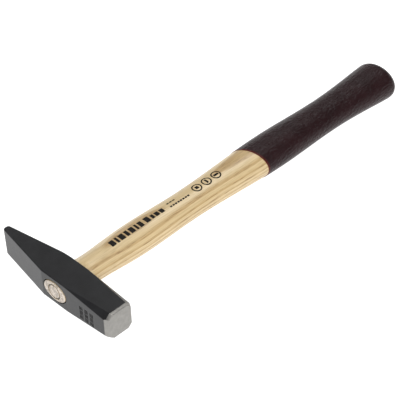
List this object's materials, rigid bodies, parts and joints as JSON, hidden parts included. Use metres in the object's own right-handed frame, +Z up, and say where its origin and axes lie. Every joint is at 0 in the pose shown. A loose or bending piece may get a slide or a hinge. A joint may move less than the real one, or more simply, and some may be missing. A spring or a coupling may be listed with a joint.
{
  "type": "cross peen hammer",
  "caption": "Hand hammer with a square striking face, a tapered cross peen and an oval wooden handle with a dipped grip.",
  "frame": {"origin": "on the lower cheek of the head, straight below the centre of the eye, with the hammer lying on its side", "axes": "+X along the handle from the head to the butt, +Y towards the peen and -Y towards the striking face, +Z up through the cheeks"},
  "size_m": [0.2803, 0.095, 0.024],
  "materials": {
    "forged_head": "forged carbon steel, black lacquered, with the striking face and its bevel ground bright",
    "wedge_steel": "plain pressed steel",
    "ash": "sanded ash, clear lacquered, grain along the handle",
    "grip_lacquer": "dark burgundy brown dipped lacquer, satin, slightly pimpled"
  },
  "bodies": {
    "root": {"head": "forged_head", "ring_wedge": "wedge_steel", "handle": "ash", "grip_coat": "grip_lacquer"}
  },
  "joints": []
}
